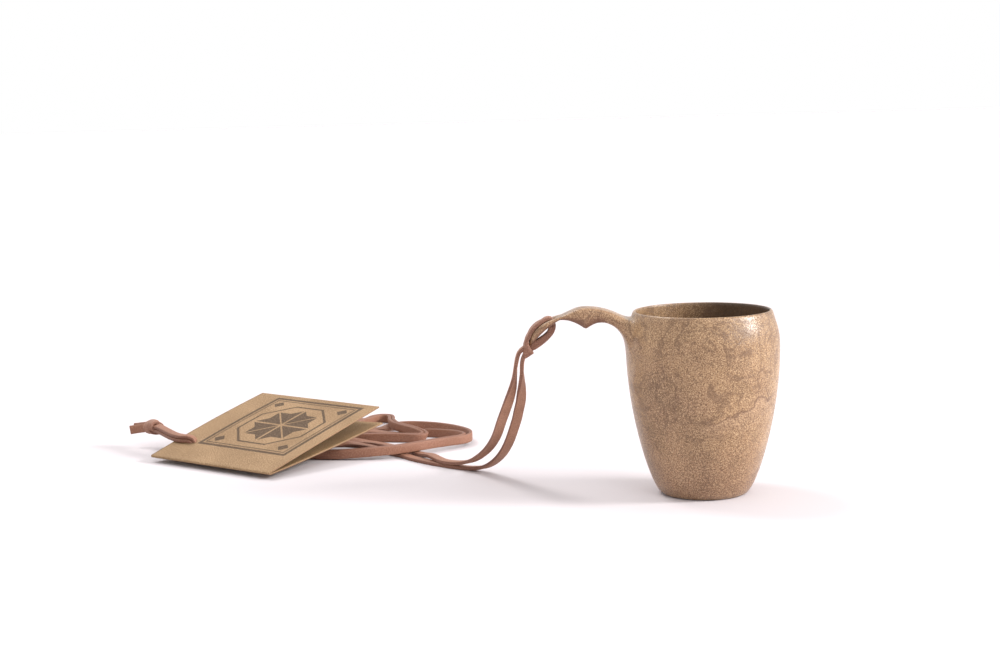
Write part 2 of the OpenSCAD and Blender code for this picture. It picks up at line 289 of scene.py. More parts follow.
# %% Both halves together, and the whole strips
TOGETHER = [
    (-.1108, .1205, .0031, 0, 0, 1), (-.1125, .1262, .0031, 0, 0, 1), (-.1132, .1330, .0024, 0, 0, 1),
    (-.1136, .1400, .0019, 0, 0, 1), (-.1150, .1447, .0018, 0, 0, 1), (-.1184, .1457, .0018, 0, 0, 1),
    (-.1213, .1430, .0018, 0, 0, 1), (-.1232, .1370, .0020, 0, 0, 1), (-.1248, .1305, .0029, 0, 0, 1),
    (-.1264, .1240, .0033, 0, 0, 1), (-.1290, .1175, .0036, .1, .2, 1), (-.1335, .1115, .0046, .4, 1, .6),
    (-.1395, .1066, .0050, .5, 1, 0),
    (-.1465, .1019, .0036, .5, 1, 0), (-.155, .0966, .0018, .5, 1, 0), (-.164, .0913, .0014, .5, 1, 0),
    (-.173, .0861, .0014, .5, 1, 0), (-.180, .0824, .0014, .4, 1, 0), (-.1837, .0807, .0015, .3, 1, 0),
    (-.1852, .0799, .0024, .3, 1, 0), (-.1854, .0798, .0036, .3, 1, 0), (-.1855, .0797, .0048, .2, 1, 0),
    (-.1856, .0796, .0061, .1, 1, 0), (-.1862, .0796, .0071, .1, 1, 0), (-.1877, .0799, .0077, .2, 1, 0),
    (-.1900, .0810, .0076, .4, 1, 0), (-.1937, .0846, .0077, .9, 1, 0), (-.1984, .0918, .0081, 1, .6, 0),
    (-.2025, .0985, .0084, 1, .6, .1),
]
LEFT_TAIL = [
    (-.2060, .1027, .0080, -.6, -.4, -.7), (-.2095, .1042, .0078, -.1, -.3, -1),
    (-.2130, .1050, .0073, 0, -.1, -1), (-.2153, .1052, .0070, 0, 0, -1),
]
RIGHT_TAIL = [
    (-.2066, .1035, .0088, .6, .5, .7), (-.2100, .1060, .0082, .2, .5, 1),
    (-.2128, .1074, .0077, .1, .4, 1), (-.2142, .1080, .0075, .1, .3, 1),
]


def half_of(rows, side):
    """The rows of the half that lies to one side of the pair's middle line."""
    out = []
    for i, row in enumerate(rows):
        ahead = Vector(rows[min(i + 1, len(rows) - 1)][:3]) - Vector(rows[max(i - 1, 0)][:3])
        across = Vector(row[3:])
        shift = side * PAIR_GAP / 2 * ahead.cross(across).normalized()
        out.append((*(Vector(row[:3]) + shift), *(across * -side)))
    return out


left_rows = LEFT_START + LEFT_HANGING + LEFT_COIL + half_of(TOGETHER, 1) + LEFT_TAIL
right_rows = RIGHT_START + RIGHT_HANGING + RIGHT_COIL + half_of(TOGETHER, -1) + RIGHT_TAIL
left_line, right_line = facing(through(left_rows)), facing(through(right_rows))
left_lace = strip("lace_left_half", left_line)
right_lace = strip("lace_right_half", right_line)
for line in (left_line, right_line):
    print("half", round(sum((b[0] - a[0]).length for a, b in zip(line, line[1:])), 4), "m long")

# %% [markdown]
# ## The knot
# Both ends of the lace are tied in one knot past the tag. Only its outer turns show, so the halves
# run straight through it, side by side. One more strip of leather lies round the pair in nearly two
# turns, leaning across it, with both of its ends tucked in.

# %% Knot
KNOT_AT, KNOT_TURN = Vector((-.2050, .1022, .0083)), math.radians(128)
KNOT_WIDE, KNOT_TALL, KNOT_REACH, KNOT_STRAP = .0026, .0023, .0023, .0032
TUCK = .12
along = Vector((math.cos(KNOT_TURN), math.sin(KNOT_TURN), 0))
beside = Vector((-along.y, along.x, 0))
turns = []
for i in range(23):
    t = i / 22
    angle = math.radians(-60 + 640 * t)
    tucked = .55 * (max(0, TUCK - t) + max(0, t - 1 + TUCK)) / TUCK
    swell = 1 + .12 * math.sin(2.3 * angle) - tucked
    reach = (2 * t - 1) * KNOT_REACH + .0007 * math.sin(angle + .6)
    ring = beside * math.cos(angle) * KNOT_WIDE + Vector((0, 0, math.sin(angle) * KNOT_TALL))
    at = KNOT_AT + along * reach + ring * swell
    turns.append((*at, *(along + beside * .25 * math.cos(angle))))
knot = strip("lace_knot", facing(through(turns, .0006)), width=KNOT_STRAP)

# %% [markdown]
# ## The cup
# The cup is one piece of wood, a bowl with its handle. The bowl is a closed section turned round its
# axis: up the outside, over a thin rounded lip, down the inside to the floor. The handle can then grow
# out of the bowl's own faces, so there is no seam. Outlines are cubic curves, in millimetres.

# %% Bowl
MM = .001
STEPS, PATCH_RINGS, PATCH_TOP = 72, 6, .86
FOOT = [(0, .15), (6, .15), (11, .1), (13, 0)]
OUTSIDE = [
    [(13.9, .1), (17.4, .5), (25.5, 26.8), (25.5, 48.8)],
    [(25.5, 50.5), (25.5, 54.7), (24.1, 57.6), (23.6, 59.5)],
]
LIP = [(23.3, 60.5), (23.02, 61.1), (22.75, 61.36), (22.45, 61.42), (22.2, 61.34), (22.05, 61)]
INSIDE = [
    [(22, 60.3), (22, 58.4), (22.2, 55.8), (22.2, 52)],
    [(22.2, 49), (22.2, 26.8), (15.5, 5.2), (9, 4.8)],
]
INSIDE_FLOOR = [(4.5, 4.7), (0, 4.7)]


def cubic(p, t):
    """The point a share t along the cubic curve of four points."""
    s = 1 - t
    return Vector([s**3 * a + 3*s*s*t * b + 3*s*t*t * c + t**3 * d for a, b, c, d in zip(*p)])


section = FOOT + [cubic(OUTSIDE[0], t / 18) for t in range(18)]
section += [cubic(OUTSIDE[1], t / (PATCH_RINGS - 1) * PATCH_TOP) for t in range(PATCH_RINGS)]
section += OUTSIDE[1][-1:] + LIP
section += [cubic(INSIDE[0], t / 3) for t in range(3)] + [cubic(INSIDE[1], t / 14) for t in range(15)]
section += INSIDE_FLOOR
bm = bmesh.new()
verts = [bm.verts.new((-r * MM, 0, z * MM)) for r, z in section]
edges = [bm.edges.new(pair) for pair in zip(verts, verts[1:])]
half_step = Matrix.Rotation(math.pi / STEPS, 3, "Z")
bmesh.ops.rotate(bm, verts=bm.verts, cent=(0, 0, 0), matrix=half_step)
bmesh.ops.spin(bm, geom=verts + edges, cent=(0, 0, 0), axis=(0, 0, 1), angle=math.tau,
               steps=STEPS, use_merge=True)
bmesh.ops.remove_doubles(bm, verts=bm.verts, dist=1e-5)
bmesh.ops.recalc_face_normals(bm, faces=bm.faces)
print("bowl", len(bm.faces), "faces, closed", not [e for e in bm.edges if not e.is_manifold])

# %% [markdown]
# The handle grows out of a patch of the bowl's own faces, section by section. Each row below pairs
# a place on its upper line with a place on its under line, and gives the half width there. The under
# line has the cusp that keeps a finger in place. The last rows curl down into the tongue.

# %% Handle lines and sections
UPPER = [
    [(-24.1, 58.6), (-28, 61.6), (-33.5, 63.6), (-39, 63.6)],
    [(-39, 63.6), (-42.5, 63.6), (-43.5, 62.1), (-46.5, 61)],
    [(-46.5, 61), (-51.6, 59.9), (-57.2, 58.1), (-57.8, 51.6)],
]
UNDER = [
    [(-25.3, 50.5), (-26.2, 54.8), (-29.5, 57.9), (-33, 58.3)],
    [(-33, 58.3), (-34.7, 58.7), (-37, 57.6), (-38.8, 56)],
    [(-38.8, 56), (-40.8, 57.8), (-44.6, 60.2), (-47.6, 59.4)],
    [(-47.6, 59.4), (-51.8, 57.1), (-55, 53.8), (-56.9, 51.2)],
]
STATIONS = [
    (.16, .22, 7), (.30, .42, 6.3), (.45, .62, 5.7), (.60, .82, 5.2), (.74, 1.00, 4.9),
    (.86, 1.36, 4.8), (.95, 1.68, 4.8), (1.01, 1.90, 4.8), (1.06, 2.03, 4.8), (1.16, 2.20, 4.7),
    (1.38, 2.45, 4.4), (1.66, 2.75, 4), (1.98, 2.97, 3.9), (2.065, 3.0, 4.0), (2.13, 3.06, 4.2),
    (2.20, 3.135, 4.4), (2.275, 3.215, 4.55), (2.35, 3.30, 4.6), (2.47, 3.43, 4.6), (2.60, 3.58, 4.5),
    (2.74, 3.74, 4.2), (2.86, 3.87, 3.6), (2.95, 3.96, 2.8), (3.0, 4.0, 2),
]
ACROSS = [-1, -.78, -.52, -.2, .2, .52, .78, 1]


def on(curves, t):
    """The point at t on curves laid end to end, one unit of t for each curve."""
    i = min(int(t), len(curves) - 1)
    return cubic(curves[i], t - i)


print("handle", len(STATIONS), "sections, tip at", [round(c, 1) for c in on(UPPER, 3)], "mm")

# %% [markdown]
# The patch is seven faces wide and five high. Each extrusion leaves the old patch behind inside the
# handle, where it would pinch the smoothing, so it is deleted. A vertex attribute marks how far under
# the handle a vertex lies, for the painted shade there.

# %% Growing the handle
TONGUE_FROM, MARK_FROM = 2, .6
under = bm.verts.layers.float.new("under")
half_angle = 3.5 * math.tau / STEPS
low, high = OUTSIDE[1][0][1] * MM, cubic(OUTSIDE[1], PATCH_TOP)[1] * MM
patch = [f for f in bm.faces for c in [f.calc_center_median()]
         if low < c.z < high and abs(math.atan2(c.y, -c.x)) < half_angle and c.xy.length > .0232]
levels = sorted({round(v.co.z, 6) for f in patch for v in f.verts})
place = {}
for v in {v for f in patch for v in f.verts}:
    i = round((math.atan2(v.co.y, -v.co.x) / half_angle + 1) / 2 * (len(ACROSS) - 1))
    place[v] = (i, levels.index(round(v.co.z, 6)))
for over_t, under_t, half in STATIONS:
    before = {tuple(v.co): ij for v, ij in place.items()}
    grown = bmesh.ops.extrude_face_region(bm, geom=patch)["geom"]
    bmesh.ops.delete(bm, geom=patch, context="FACES")
    patch = [g for g in grown if isinstance(g, bmesh.types.BMFace)]
    place = {v: before[tuple(v.co)] for v in grown if isinstance(v, bmesh.types.BMVert)}
    top, bottom = on(UPPER, over_t), on(UNDER, under_t)
    for v, (i, j) in place.items():
        a, b = ACROSS[i], 2 * j / (PATCH_RINGS - 1) - 1
        round_a, round_b = a * math.sqrt(1 - .32 * b * b), b * math.sqrt(1 - .22 * a * a)
        if over_t > TONGUE_FROM and b > 0:
            round_b -= .5 * b * (1 - a * a)
        x, z = bottom.lerp(top, (round_b + 1) / 2)
        v.co = (x * MM, half * round_a * MM, z * MM)
        v[under] = max(0, -b) if over_t > MARK_FROM else 0
root = [v for v in bm.verts
        if -.0285 < v.co.x < -.0225 and v.co.z > .049
        and abs(v.co.y) < .009 and v.co.xy.length > .0237]
for _ in range(3):
    bmesh.ops.smooth_vert(bm, verts=root, factor=.4, use_axis_x=True, use_axis_y=True, use_axis_z=True)
print("handle grown,", len(bm.faces), "faces,", len(root), "vertices smoothed at its root")

# %% [markdown]
# The lace's hole leans with the tongue. The faces over it are taken away above and below, the two
# open edges are rounded onto the hole's wall, and the wall is bridged between them.

# %% Lace hole
LACE_HOLE = .0024
HOLE_AT, HOLE_AXIS = Vector((-.0505, 0, .0584)), Vector((-.574, 0, .819)).normalized()


def from_axis(co):
    """How high a point lies along the hole's axis, and its offset square to the axis."""
    away = co - HOLE_AT
    level = away.dot(HOLE_AXIS)
    return level, away - level * HOLE_AXIS


opening = []
for f in bm.faces:
    level, flat = from_axis(f.calc_center_median())
    lengthwise = flat.dot(HOLE_AXIS.cross(Vector((0, 1, 0))))
    over_hole = abs(lengthwise) < LACE_HOLE and abs(flat.y) < .0023
    if over_hole and abs(level) < .0022 and abs(f.normal.dot(HOLE_AXIS)) > .6:
        opening.append(f)
bmesh.ops.delete(bm, geom=opening, context="FACES")
open_edges = [e for e in bm.edges if e.is_boundary]
for v in {v for e in open_edges for v in e.verts}:
    level, flat = from_axis(v.co)
    v.co = HOLE_AT + level * HOLE_AXIS + flat.normalized() * LACE_HOLE
bmesh.ops.bridge_loops(bm, edges=open_edges)
bmesh.ops.recalc_face_normals(bm, faces=bm.faces)
print("hole edges", len(open_edges), "closed", not [e for e in bm.edges if not e.is_manifold])

# %% [markdown]
# A second attribute marks the hollow, so that painted shade can darken the wood inside. Two levels of
# subdivision then turn the coarse cage into a smooth cup.

# %% Marking the hollow, and the finished cup
FLOOR_Z, HOLLOW_R = .0046, .0223
inside = bm.verts.layers.float.new("inside")
for v in bm.verts:
    hollow = v.co.z > FLOOR_Z and v.co.xy.length < HOLLOW_R
    outer_wall = any(f.normal.xy.dot(v.co.xy) > 0 for f in v.link_faces)
    v[inside] = float(hollow and not outer_wall)
cup = finished("cup_body", bm)
smoother = cup.modifiers.new("smooth", "SUBSURF")
smoother.levels = smoother.render_levels = 2
print("cup spans", [round(c * 1000, 1) for c in cup.dimensions], "mm")

# %% [markdown]
# ## The folded tag
# The tag is one sheet of card. It is made flat, as a grid of millimetre faces with its two lace
# holes, then bent round its fold: the lower leaf lies curling up a little from the table, and the
# upper leaf springs open over it.

# %% Bending the card
TAG_WIDTH, LEAF, CARD = .063, .0615, .0005
FOLD_AT, FOLD_TURN = Vector((-.2006, .0743, .0024)), math.radians(-37.4)
LOWER_NEAR, LOWER_FAR, UPPER_TILT = math.radians(5.8), math.radians(8), math.radians(14.1)
BEND = .0003
bend_length = BEND * (math.pi + UPPER_TILT - LOWER_NEAR) / 2


def folded(w, d):
    """A place on the card's middle surface, w along the fold and d from it, upper leaf positive."""
    side = 1 if d > 0 else -1
    tilt = UPPER_TILT if d > 0 else LOWER_NEAR
    past = abs(d) - bend_length
    if past < 0:
        angle = (UPPER_TILT + LOWER_NEAR) / 2 + math.pi - d / BEND
        y, z = BEND * math.cos(angle), BEND * math.sin(angle)
    else:
        y = past * math.cos(tilt) - side * BEND * math.sin(tilt)
        z = past * math.sin(tilt) + side * BEND * math.cos(tilt)
        across, out = w / TAG_WIDTH, past / LEAF
        if d < 0:
            curl = (math.tan(LOWER_FAR) - math.tan(LOWER_NEAR)) * LEAF
            z += curl * out ** 1.8 * (.35 + .65 * across ** 2)
        else:
            z += .0006 * math.sin(math.pi * out) * (1 - across) - .0004 * out ** 2 * across
    return FOLD_AT + Matrix.Rotation(FOLD_TURN, 3, "Z") @ Vector((w, y, z))


print("the fold takes", round(bend_length * 2000, 2), "mm of card")

# %% [markdown]
# The flat grid has one column for each millimetre. For each lace hole a square of faces is taken out
# and its edge bridged to a circle, which gives a round hole with an even ring of faces. The UV map is
# taken while the card is flat, so that a print on it isn't stretched by the bend.

# %% Flat card with its holes
COLUMNS, LEAF_ROWS, BEND_ROWS = 63, 60, 4
HOLE_SIDE, HOLE_FOLD = .0087, .0137
bends = [bend_length * k / BEND_ROWS for k in range(-BEND_ROWS, BEND_ROWS + 1)]
leaf = [bend_length + LEAF * k / LEAF_ROWS for k in range(1, LEAF_ROWS + 1)]
rows = [-d for d in reversed(leaf)] + bends + leaf
bm = bmesh.new()
bmesh.ops.create_grid(bm, x_segments=COLUMNS, y_segments=len(rows) - 1, size=1)
for v in bm.verts:
    i, j = grid_place(v.co, COLUMNS, len(rows) - 1)
    v.co = (i * TAG_WIDTH / COLUMNS, rows[j], 0)
for side in (1, -1):
    centre = Vector((HOLE_SIDE, side * (HOLE_FOLD + bend_length), 0))
    square = [f for f in bm.faces if max(abs(c) for c in (f.calc_center_median() - centre)[:2]) < .004]
    bmesh.ops.delete(bm, geom=square, context="FACES")
    rim = [e for e in bm.edges if e.is_boundary and all((v.co - centre).length < .0075 for v in e.verts)]
    circle = bmesh.ops.create_circle(bm, segments=len(rim), radius=LACE_HOLE,
                                     matrix=Matrix.Translation(centre))["verts"]
    inner = [e for e in bm.edges if e.verts[0] in circle and e.verts[1] in circle]
    bmesh.ops.bridge_loops(bm, edges=rim + inner)
uv = bm.loops.layers.uv.new("UVMap")
for f in bm.faces:
    for loop in f.loops:
        loop[uv].uv = loop.vert.co.xy
print("flat card", round(rows[-1] * 2000, 1), "by", TAG_WIDTH * 1000, "mm,", len(bm.faces), "faces")

# %% [markdown]
# Now every vertex is moved to its place on the bent surface. The faces are turned so that the printed
# side is outside, and the Solidify modifier gives the sheet its half millimetre, evenly on both sides.

# %% Folded tag
for v in bm.verts:
    v.co = folded(v.co.x, v.co.y)
bmesh.ops.recalc_face_normals(bm, faces=bm.faces)
if max(bm.faces, key=lambda f: f.calc_center_median().z).normal.z < 0:
    bmesh.ops.reverse_faces(bm, faces=bm.faces)
tag = finished("folded_tag", bm)
card = tag.modifiers.new("card", "SOLIDIFY")
card.thickness, card.offset = CARD, 0
card.material_offset, card.material_offset_rim = 1, 2
print("tag spans", [round(c * 1000, 1) for c in tag.dimensions], "mm")

# %% [markdown]
# ## Materials
# Every material is built from nodes by a few small helpers, which take a value or a socket alike, so
# that a material below reads as a list of what lies over what.

# %% Node helpers
def wire(tree, kind, inputs, **settings):
    """A node with its settings, its inputs given as values or as sockets to link."""
    node = tree.nodes.new(kind)
    for key, value in settings.items():
        setattr(node, key, value)
    for key, value in inputs.items():
        if isinstance(value, bpy.types.NodeSocket):
            tree.links.new(value, node.inputs[key])
        else:
            node.inputs[key].default_value = value
    return node


def ramp(tree, factor, stops):
    """A colour ramp through (place, grey or colour) stops."""
    node = wire(tree, "ShaderNodeValToRGB", {"Fac": factor})
    elements = node.color_ramp.elements
    while len(elements) < len(stops):
        elements.new(.5)
    for element, (at, tone) in zip(elements, stops):
        element.position = at
        element.color = (*tone, 1) if isinstance(tone, tuple) else (tone, tone, tone, 1)
    return node.outputs["Color"]


def blended(tree, factor, a, b):
    """A mix of two colours, each a socket or three numbers. A Mix node's sockets share their names."""
    node = wire(tree, "ShaderNodeMix", {}, data_type="RGBA")
    for key, kind, value in (("Factor", "VALUE", factor), ("A", "RGBA", a), ("B", "RGBA", b)):
        socket = next(s for s in node.inputs if s.name == key and s.type == kind)
        if isinstance(value, bpy.types.NodeSocket):
            tree.links.new(value, socket)
        else:
            socket.default_value = (*value, 1)
    return next(s for s in node.outputs if s.type == "RGBA")


def math_node(tree, operation, *values):
    """The result of one sum on values or sockets."""
    return wire(tree, "ShaderNodeMath", dict(enumerate(values)), operation=operation).outputs[0]


def times(tree, a, b):
    return math_node(tree, "MULTIPLY", a, b)


def laid_over(tree, tone, mask, strength, colour):
    """The tone with a colour laid over it where the mask says, at a strength."""
    return blended(tree, times(tree, mask, strength), tone, colour)


def noise(tree, vector, scale, **values):
    """The grey of a noise, with its detail, roughness and distortion as named values."""
    inputs = {key.capitalize(): value for key, value in values.items()}
    return wire(tree, "ShaderNodeTexNoise", {"Vector": vector, "Scale": scale, **inputs}).outputs["Fac"]


def material(name):
    """A new material, its node tree and its Principled BSDF."""
    made = bpy.data.materials.new(name)
    made.use_nodes = True
    return made, made.node_tree, made.node_tree.nodes["Principled BSDF"]


def bumped(tree, shader, *layers):
    """Bumps laid one on the other, each a height, a strength, a distance and whether it sinks."""
    below = None
    for height, strength, distance, sunk in layers:
        inputs = {"Height": height, "Strength": strength, "Distance": distance}
        if below:
            inputs["Normal"] = below
        below = wire(tree, "ShaderNodeBump", inputs, invert=sunk).outputs[0]
    tree.links.new(below, shader.inputs["Normal"])


print("helpers for node trees are ready")

# %% [markdown]
# Two effects serve more than one material, so each is a node group: fine specks spread over a
# surface, and slow patches of lighter and darker tone. Noise gives both, cut to steps by a ramp.

# %% Shared effects
def effect(name, inputs, outputs):
    """A node group with its inputs and outputs, and the sockets inside it that carry them."""
    group = bpy.data.node_groups.new(name, "ShaderNodeTree")
    for socket_name, kind in inputs:
        group.interface.new_socket(socket_name, in_out="INPUT", socket_type=kind)
    for socket_name, kind in outputs:
        group.interface.new_socket(socket_name, in_out="OUTPUT", socket_type=kind)
    return group, group.nodes.new("NodeGroupInput").outputs, group.nodes.new("NodeGroupOutput").inputs


VECTOR, NUMBER = "NodeSocketVector", "NodeSocketFloat"
specks, given, result = effect("specks", [("Vector", VECTOR), ("Scale", NUMBER)],
                               [("Dark", NUMBER), ("Light", NUMBER)])
grain = noise(specks, given["Vector"], given["Scale"], detail=3.0, roughness=.65)
specks.links.new(ramp(specks, grain, [(.36, 1), (.5, 0)]), result["Dark"])
specks.links.new(ramp(specks, grain, [(.5, 0), (.65, 1)]), result["Light"])

patches, given, result = effect("patches", [("Vector", VECTOR), ("Scale", NUMBER)], [("Tone", NUMBER)])
cloud = noise(patches, given["Vector"], given["Scale"], detail=2.0, distortion=.6)
patches.links.new(ramp(patches, cloud, [(.36, 0), (.64, 1)]), result["Tone"])


def placed(tree, group, vector, scale):
    """An effect placed in a material's tree, with its own vector and scale."""
    node = tree.nodes.new("ShaderNodeGroup")
    node.node_tree = group
    tree.links.new(vector, node.inputs["Vector"])
    node.inputs["Scale"].default_value = scale
    return node.outputs


print("effects", [g.name for g in bpy.data.node_groups])

# %% [markdown]
# The cup is a fine-grained, fibre-like wood: tan, with pinkish and grey-brown clouds, pale and dark
# specks, and a few thin wandering lines. Nothing in it has a straight grain, so noise on the object's
# coordinates gives it all. First come the clouds, the darker tone towards the rim and towards the foot,
# and the redder handle.

# %% Cup wood: clouds and stains
PER_HEIGHT = 16.0  # a ramp's whole width is then 62.5 mm
cup_wood, tree, shader = material("cup_wood")
at = wire(tree, "ShaderNodeTexCoord", {}).outputs["Object"]
x, y, z = wire(tree, "ShaderNodeSeparateXYZ", {"Vector": at}).outputs
height = times(tree, z, PER_HEIGHT)
small = placed(tree, patches, at, 120)["Tone"]
tone = blended(tree, placed(tree, patches, at, 34)["Tone"], (.175, .090, .037), (.42, .25, .118))
tone = laid_over(tree, tone, small, .45, (.33, .178, .092))
# Darker towards the rim and, below, towards the foot.
tone = laid_over(tree, tone, ramp(tree, height, [(.76, 0), (.93, 1)]), .6, (.20, .105, .045))
tone = laid_over(tree, tone, ramp(tree, height, [(.05, 1), (.35, 0)]), .55, (.22, .105, .068))
arm = ramp(tree, times(tree, x, -PER_HEIGHT), [(.40, 0), (.5, 1)])
tone = laid_over(tree, tone, arm, .5, (.23, .105, .05))
print("cup_wood so far", len(tree.nodes), "nodes")

# %% [markdown]
# The long line is a level that climbs to the right and wanders with a noise. The wood is paler just
# below it, a second and fainter line runs lower down, and all three fade out away from the middle of
# the line. Swirls are the places where another noise passes through its middle value.

# %% Cup wood: specks, swirls and the long line
LINE_Z, LINE_FROM_X, LINE_CLIMB, LINE_WANDER = .0222, .004, .42, .011
MILLIMETRES = 1000.0
rightwards = math_node(tree, "MAXIMUM", math_node(tree, "SUBTRACT", x, LINE_FROM_X), 0.0)
climb = times(tree, rightwards, LINE_CLIMB)
level = math_node(tree, "SUBTRACT", math_node(tree, "SUBTRACT", z, LINE_Z), climb)
wander = times(tree, noise(tree, at, 130.0, detail=4.0, distortion=.5), LINE_WANDER)
level = times(tree, math_node(tree, "SUBTRACT", level, wander), MILLIMETRES)
away = wire(tree, "ShaderNodeVectorMath", {0: at, 1: (.012, -.021, .030)}, operation="DISTANCE")
near = ramp(tree, times(tree, away.outputs["Value"], 50.0), [(.5, 1), (.95, 0)])
below = ramp(tree, times(tree, level, -.1), [(0, 0), (.04, 1), (.8, 0)])
tone = laid_over(tree, tone, times(tree, below, near), .55, (.46, .29, .18))
fine = placed(tree, specks, at, 2300)
tiny = placed(tree, specks, at, 4300)
tone = laid_over(tree, tone, fine["Dark"], .8, (.095, .045, .02))
tone = laid_over(tree, tone, fine["Light"], .62, (.62, .42, .245))
tone = laid_over(tree, tone, tiny["Dark"], .7, (.11, .052, .026))
tone = laid_over(tree, tone, tiny["Light"], .5, (.66, .46, .28))
swirl = math_node(tree, "SUBTRACT", noise(tree, at, 60.0, detail=5.0, distortion=1.3), .5)
swirl = ramp(tree, math_node(tree, "ABSOLUTE", swirl), [(0, .62), (.035, 0)])
upwards = ramp(tree, height, [(.2, .35), (.6, 1)])
tone = blended(tree, times(tree, swirl, upwards), tone, (.13, .066, .033))
crease = ramp(tree, math_node(tree, "ABSOLUTE", level), [(.1, 1), (1, 0)])
second = math_node(tree, "ABSOLUTE", math_node(tree, "MULTIPLY_ADD", level, .55, 2.0))
second = ramp(tree, second, [(.1, .6), (1, 0)])
lines = math_node(tree, "MAXIMUM", crease, times(tree, second, small))
tone = laid_over(tree, tone, times(tree, lines, near), .66, (.13, .064, .034))
print("cup_wood so far", len(tree.nodes), "nodes")

# %% [markdown]
# The two attributes lay painted shade under the handle and in the hollow, deepest on the hollow's
# right side. The surface is smooth and oiled, so it has a low roughness and a thin coat. The specks
# are sunk a little, and the small clouds raise it gently.

# %% Cup wood: shade, sheen and relief
under_handle_shade = wire(tree, "ShaderNodeAttribute", {}, attribute_name="under").outputs["Fac"]
# Painted shade under the handle, deepest on its underside.
tone = blended(tree, ramp(tree, under_handle_shade, [(0, 0), (.6, .75)]), tone, (.14, .055, .028))
# Painted shade in the hollow, light on its left side and deep on its right.
depth = wire(tree, "ShaderNodeAttribute", {}, attribute_name="inside").outputs["Fac"]
shaded = ramp(tree, math_node(tree, "MULTIPLY_ADD", x, 25.0, .5), [(.32, .12), (.75, .86)])
tone = blended(tree, times(tree, depth, shaded), tone, (.045, .022, .01))
tree.links.new(tone, shader.inputs["Base Color"])
shader.inputs["Roughness"].default_value = .36
shader.inputs["IOR"].default_value = 1.45
shader.inputs["Coat Weight"].default_value = .2
shader.inputs["Coat Roughness"].default_value = .22
bumped(tree, shader, (fine["Dark"], .35, .00015, True), (small, .3, .0004, False))
cup.data.materials.append(cup_wood)
print("cup_wood", len(tree.nodes), "nodes")

# %% [markdown]
# The strip's own coordinates run round it and along it, in metres, so its edges and its faces can be
# told apart. Its two faces are smooth salmon-tan leather and its two cut edges are darker and
# fibrous. Painted shade makes it darkest in the tight hitch under the tongue, and it is darker where
# it lies than where it hangs.

# %% Lace leather
lace_leather, tree, shader = material("lace_leather")
around = wire(tree, "ShaderNodeUVMap", {}, uv_map="UVMap").outputs["UV"]
girth, run, _ = wire(tree, "ShaderNodeSeparateXYZ", {"Vector": around}).outputs
face_share = math_node(tree, "FRACT", math_node(tree, "MULTIPLY_ADD", girth, 1 / HALF_GIRTH, .5625))
from_edge = math_node(tree, "ABSOLUTE", math_node(tree, "SUBTRACT", face_share, .5))
edge = ramp(tree, from_edge, [(.11, 1), (.19, 0)])
lying = ramp(tree, times(tree, run, 5.0), [(.30, 0), (.62, 1)])
hitch_shade = ramp(tree, times(tree, run, 10.0), [(.22, 1), (.5, 0)])
fine = placed(tree, specks, around, 2600)
tone = blended(tree, placed(tree, patches, around, 70)["Tone"], (.34, .165, .10), (.46, .235, .15))
tone = laid_over(tree, tone, lying, .82, (.20, .078, .042))
# Painted shade in the tight hitch, under the tongue.
tone = laid_over(tree, tone, hitch_shade, .5, (.13, .05, .032))
tone = laid_over(tree, tone, edge, .85, (.15, .058, .034))
tone = laid_over(tree, tone, fine["Dark"], .45, (.13, .05, .03))
tone = laid_over(tree, tone, fine["Light"], .3, (.56, .33, .225))
tree.links.new(tone, shader.inputs["Base Color"])
shader.inputs["Roughness"].default_value = .62
bumped(tree, shader, (fine["Dark"], .3, .0001, False))
for piece in (left_lace, right_lace, knot):
    piece.data.materials.append(lace_leather)
print("lace_leather", len(tree.nodes), "nodes")

# %% [markdown]
# The card is brown kraft board with pale and dark fibres. Its printed side carries a plain folk
# star of eight points in a double square border, with a small diamond in each corner, in dark brown.
# The pattern is worked out from the card's own coordinates, where distances are in metres: a square
# and a diamond of the same reach make the star. It falls on the upper leaf only.

# %% The print's pattern
STAR_AT, STAR_REACH, STAR_GAP = (.0348, .0362), .0102, .00045
OUTLINE_AT, CORNER_AT, CORNER_REACH = .0166, .0168, .0026


def star_print(tree, spot):
    """A mask of the ink: an eight-pointed star, its outline, a double border and corner diamonds."""
    def step(operation, *values):
        return math_node(tree, operation, *values)
    u, v, _ = wire(tree, "ShaderNodeSeparateXYZ", {"Vector": spot}).outputs
    x = step("ABSOLUTE", step("SUBTRACT", u, STAR_AT[0]))
    y = step("ABSOLUTE", step("SUBTRACT", v, STAR_AT[1]))
    square, diamond = step("MAXIMUM", x, y), step("ADD", x, y)
    upright = step("LESS_THAN", square, STAR_REACH)
    turned = step("LESS_THAN", diamond, STAR_REACH * math.sqrt(2))
    spokes = step("MINIMUM", step("MINIMUM", x, y), step("ABSOLUTE", step("SUBTRACT", x, y)))
    star = step("MULTIPLY", step("MAXIMUM", upright, turned), step("GREATER_THAN", spokes, STAR_GAP))
    octagon = step("MAXIMUM", step("DIVIDE", diamond, math.sqrt(2)), square)
    outline = step("COMPARE", octagon, OUTLINE_AT, .0005)
    border = step("MAXIMUM", step("COMPARE", square, .0222, .00075), step("COMPARE", square, .0204, .0003))
    corner_x = step("ABSOLUTE", step("SUBTRACT", x, CORNER_AT))
    corner_y = step("ABSOLUTE", step("SUBTRACT", y, CORNER_AT))
    corner = step("LESS_THAN", step("ADD", corner_x, corner_y), CORNER_REACH)
    return step("MAXIMUM", step("MAXIMUM", star, border), step("MAXIMUM", corner, outline))


print("star", STAR_REACH * 2000, "mm wide, its middle at", STAR_AT)
